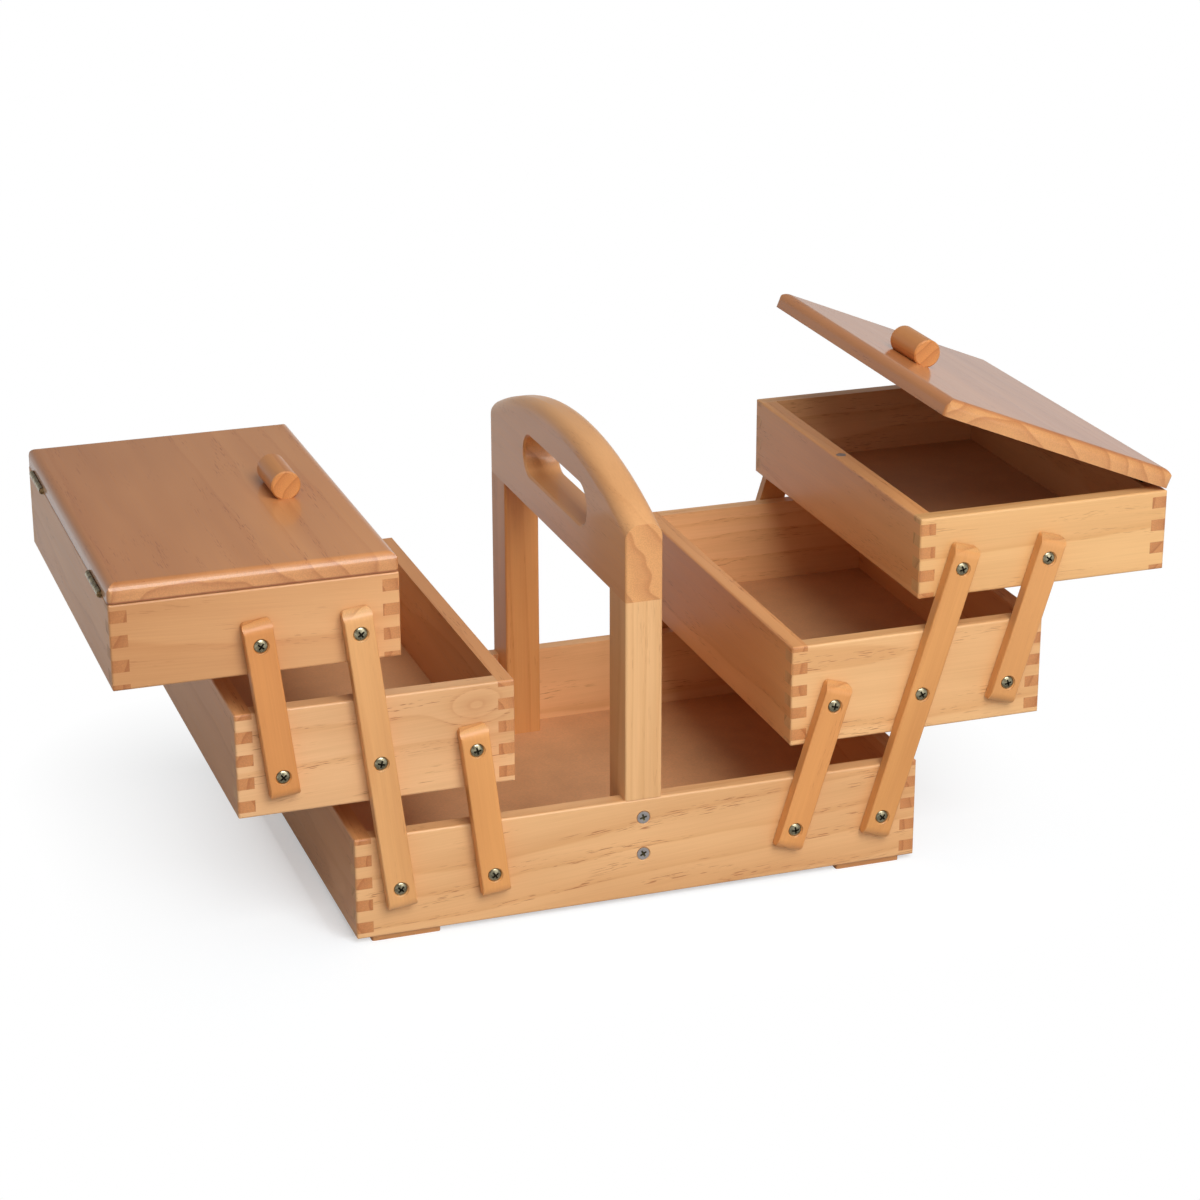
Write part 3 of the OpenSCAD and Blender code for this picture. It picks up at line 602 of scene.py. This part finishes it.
def screw_places(node):
    found = []
    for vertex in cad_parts[node].data.vertices:
        spot = vertex.co / MM
        side = -1 if spot.y < 0 else 1
        near = [
            s for s in found
            if s[0] == side and math.hypot(s[1].x - spot.x, s[1].z - spot.z) < screws_apart
        ]
        if near:
            near[0][2] = Vector(map(min, near[0][2], spot))
            near[0][3] = Vector(map(max, near[0][3], spot))
        else:
            found.append([side, spot.copy(), spot.copy(), spot.copy()])
    found.sort(key=lambda s: (s[0], round(s[2].x), round(s[2].z)))
    return [(side, low, high) for side, first, low, high in found]


def plated_metal(name, colour, tarnish, roughness, seed):
    made, tree = clear_material(name)
    place = vector_step(tree, "MULTIPLY", add_node(tree, "ShaderNodeTexCoord").outputs["Object"], to_mm)
    own = vector_step(tree, "ADD", place, (seed, seed, seed))
    patch = noise(tree, own, tarnish_rate, detail=3.0, roughness=0.6).outputs[0]
    polish = noise(tree, own, polish_rate, roughness=0.6).outputs[0]
    shade = blend_colours(tree, eased_ramp(tree, patch, 0.4, 0.68), colour, tarnish)
    matt = over_noise(tree, polish, roughness * 0.8, roughness * 1.25)
    bump = add_node(tree, "ShaderNodeBump", {"Strength": 0.1, "Distance": 0.0001, "Height": polish})
    metal = add_node(tree, "ShaderNodeBsdfPrincipled", {
        "Base Color": shade, "Metallic": 1.0, "Roughness": matt, "Normal": bump.outputs[0],
    })
    show_surface(tree, metal)
    return made


def screw_set(name, node, body, slot, turns, bright, dark, head_l, sink, **screw):
    form = bmesh.new()
    for side, low, high in screw_places(node):
        outward = Vector((0, side, 0))
        rim_y = high.y - head_l if side > 0 else low.y + head_l
        place = Vector(((low.x + high.x) / 2, rim_y - side * sink, (low.z + high.z) / 2))
        length = high.y - low.y - head_l - sink
        cross_screw(form, place, outward, turns.uniform(0, math.pi / 2), length=length, **screw)
    mesh = bpy.data.meshes.new(name)
    bmesh.ops.recalc_face_normals(form, faces=form.faces)
    form.to_mesh(mesh)
    form.free()
    mesh.set_sharp_from_angle(angle=sharp_edge)
    mesh.materials.append(bright)
    mesh.materials.append(dark)
    piece = bpy.data.objects.new(name, mesh)
    bpy.context.scene.collection.objects.link(piece)
    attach(piece, body)
    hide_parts(node)


turns = random.Random(7)
zinc = plated_metal(
    "zinc_plate", (0.74, 0.69, 0.67, 1), tarnish=(0.62, 0.56, 0.54, 1), roughness=0.32, seed=3.0,
)
# Dark metal for the cross recess: grime, and painted shade in its hollow
zinc_recess_grime_and_shade = plated_metal(
    "zinc_recess_grime_and_shade", (0.26, 0.23, 0.12, 1), tarnish=(0.14, 0.12, 0.06, 1), roughness=0.5, seed=4.0,
)
screw_set(
    "handle_cross_screws", "handle_screws", "base", "steel_screws", turns, zinc, zinc_recess_grime_and_shade,
    head_l=0.0, sink=0.15, head_r=3.7, dome=0.0, cone=2.2, shank_r=2.0, wing_l=2.1, wing_w=0.55,
    cross_depth=1.7,
)


# The arms: flat pine laths with sanded edges and rounded noses, bored for the pivot screws.
# A long arm carries both trays of its side, and the two short arms keep them level.
arm_pine = {
    "left_long_arm": (0.80, 0.408, 0.153, 1),
    "left_lower_arm": (0.77, 0.350, 0.108, 1),
    "left_upper_arm": (0.695, 0.284, 0.080, 1),
    "right_long_arm": (0.72, 0.328, 0.100, 1),
    "right_lower_arm": (0.75, 0.330, 0.100, 1),
    "right_upper_arm": (0.70, 0.322, 0.104, 1),
}
arm_lean = {
    "left": math.radians(-6.8),
    "right": math.radians(17.1),
}
seed = 10.0
for side_name, lean in arm_lean.items():
    arm_grain = Vector((math.sin(lean), 0, math.cos(lean)))
    for arm_name in ("long_arm", "lower_arm", "upper_arm"):
        for face_name, face in (("front", -INTO_BOX), ("back", INTO_BOX)):
            seed += 1.37
            finish_in_wood(
                f"{side_name}_{arm_name}_{face_name}", grain=arm_grain, face=face,
                colour=arm_pine[f"{side_name}_{arm_name}"], ring=8, heart=(12, -40), sway=3, dashes=0.3,
                contrast=0.3, end_shade=(0.97, 1.08, 1.25), seed=seed,
            )


# The pivot screws: brass-plated screws with raised heads, seated a little below the face of
# each arm. They hold the arms to the boxes and are the pins that they turn on.
brass_plate = plated_metal(
    "brass_plate", (0.44, 0.40, 0.27, 1), tarnish=(0.24, 0.21, 0.13, 1), roughness=0.26, seed=5.0,
)
# Dark metal for the cross recess: grime, and painted shade in its hollow
brass_recess_grime_and_shade = plated_metal(
    "brass_recess_grime_and_shade", (0.10, 0.08, 0.05, 1), tarnish=(0.05, 0.04, 0.03, 1), roughness=0.5, seed=6.0,
)
pivot_groups = {
    "base_pivot_screws": "base",
    "left_mid_pivot_screws": "left_mid_tray",
    "left_top_pivot_screws": "left_top_tray",
    "right_mid_pivot_screws": "right_mid_tray",
    "right_top_pivot_screws": "right_top_tray",
}
for group, body in pivot_groups.items():
    screw_set(
        group.replace("pivot", "raised_cross"), group, body, "brass_screws", turns, brass_plate,
        brass_recess_grime_and_shade, head_l=1.3, sink=0.35, head_r=3.9, dome=1.15, cone=2.2, shank_r=2.0, wing_l=2.15,
        wing_w=0.5, cross_depth=2.0,
    )


# The middle trays: one on each side, of pine boards with finger joints as on the base, and
# with a hardboard floor in grooves. They hang on the screws of the arms.
tray_floor_brown = (0.60, 0.297, 0.135, 1)


def tray_boards(side_name, level, outward, seed, front_figure, inner_figure, outer_figure):
    walls = {
        "front_wall": dict(
            grain=ACROSS_BOX, face=-INTO_BOX, end_shade=long_end_shade, seed=seed, **front_figure,
        ),
        "back_wall": dict(
            grain=ACROSS_BOX, face=INTO_BOX, colour=back_pine, heart=(20, -50), end_shade=long_end_shade,
            seed=seed + 0.9,
        ),
        "outer_wall": dict(
            grain=INTO_BOX, face=ACROSS_BOX * outward, heart=(15, -60), seed=seed + 1.7, **outer_figure,
        ),
        "inner_wall": dict(
            grain=INTO_BOX, face=-ACROSS_BOX * outward, heart=(-12, -55), seed=seed + 2.6, **inner_figure,
        ),
    }
    for wall, figure in walls.items():
        finish_in_wood(f"{side_name}_{level}_{wall}", **figure)
    panel = f"{side_name}_{level}_floor"
    finish_node(panel, hardboard(panel + "_hardboard", tray_floor_brown, seed=seed))


left_end = dict(colour=end_pine)
# The inner walls of the right trays are painted lighter, a painted light from the left, with their
# end-grain share lowered so that the finger ends keep their tone
right_inner_painted_light = dict(colour=(0.83, 0.405, 0.155, 1), end_shade=(0.77, 0.67, 0.59))
right_outer_end = dict(colour=(0.74, 0.365, 0.145, 1))
left_mid_front = dict(
    colour=(0.83, 0.485, 0.235, 1), ring=12, heart=(-30, -52), run_out=-0.04, dashes=1.0, contrast=0.5,
    drift=-0.5, slope=-0.2, knots=((57.0, 15.0, 16.0, 9.0, 2.2),),
)
right_mid_front = dict(
    colour=(0.81, 0.465, 0.205, 1), ring=12, heart=(24, -70), dashes=0.8, contrast=0.55,
)
tray_boards("left", "mid", -1, 31.0, left_mid_front, left_end, left_end)
tray_boards("right", "mid", 1, 36.5, right_mid_front, right_inner_painted_light, right_outer_end)


# The top trays: shallower boxes of the same make. A small round magnet is let into the rim
# of the inner wall, and holds the strike disc of the lid.
left_top_end = dict(colour=end_pine, end_shade=(0.70, 0.58, 0.48))
# A darker colour and a slope darker towards the left: painted shade for the light falling off across the
# front of the left top tray
left_top_front_painted_falloff = dict(
    colour=(0.702, 0.360, 0.150, 1), ring=15, heart=(-38, -60), run_out=0.05, sway=9, dashes=0.3,
    slope=0.65,
)
right_top_front = dict(
    colour=(0.80, 0.46, 0.190, 1), ring=14, heart=(30, -60), sway=9, dashes=0.4, contrast=0.6,
)
tray_boards("left", "top", -1, 41.0, left_top_front_painted_falloff, left_end, left_top_end)
tray_boards("right", "top", 1, 46.5, right_top_front, right_inner_painted_light, right_outer_end)
nickel = plated_metal(
    "catch_nickel", (0.55, 0.54, 0.53, 1), tarnish=(0.42, 0.41, 0.40, 1), roughness=0.35, seed=8.0,
)
for side_name in arm_lean:
    finish_node(f"{side_name}_tray_magnet", nickel)


# The lids: edge-glued pine boards with their upper edges rounded over, stained a shade
# redder than the boxes. A short thick dowel lies on each as its knob. Their tops are also
# painted darker, a painted shade, and their end grain lighter, a painted light on the edges
# that face the lamps.
knob_pine = (0.70, 0.290, 0.082, 1)
lid_make_with_painted_light = {
    # The left lid: a drift darker towards its left side, painted shade for the light falling off across it
    "left": dict(
        lean=0.0, colour=(0.63, 0.262, 0.088, 1), drift=-0.45, end_shade=(1.03, 1.10, 1.15),
    ),
    # The right lid, which leans open: painted darker still, a painted shade, and its end grain painted
    # lighter, a painted light
    "right": dict(
        lean=math.radians(22.2), colour=(0.59, 0.230, 0.073, 1), drift=0.0, end_shade=(1.18, 1.40, 1.52),
    ),
}
flat_low, flat_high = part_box("left_lid_board")
lid_half = (flat_high.z - flat_low.z) / 2 / MM
for side_name, make in lid_make_with_painted_light.items():
    lean = make["lean"]
    lid_face = Vector((math.sin(lean), 0, math.cos(lean)))
    finish_in_wood(
        f"{side_name}_lid_board", f"{side_name}_lid_pine_with_painted_light", grain=INTO_BOX, face=lid_face,
        colour=make["colour"], ring=12, heart=(30, -60), sway=5, dashes=0.6, contrast=0.35,
        drift=make["drift"], end_shade=make["end_shade"], gloss=0.6, seam=lid_half, seed=51.0 + 3 * lean,
    )
    finish_in_wood(
        f"{side_name}_lid_knob", f"{side_name}_knob_pine", grain=INTO_BOX, face=lid_face, colour=knob_pine,
        ring=7, heart=(-20, -14), sway=2, dashes=0.3, contrast=0.6, end_shade=(1.0, 1.0, 1.0), gloss=0.3,
        seed=57.0 + 3 * lean,
    )
    finish_node(f"{side_name}_lid_strike", nickel)


# The hinges: small brass butt hinges with dark tarnish, two to a lid, let into the rim of the
# tray and the edge of the lid.
hinge_brass = plated_metal(
    "hinge_brass", (0.46, 0.38, 0.22, 1), tarnish=(0.10, 0.075, 0.035, 1), roughness=0.22, seed=9.0,
)
for side_name in lid_make_with_painted_light:
    finish_node(f"{side_name}_hinge_tray_leaves", hinge_brass)
    finish_node(f"{side_name}_hinge_lid_leaves", hinge_brass)
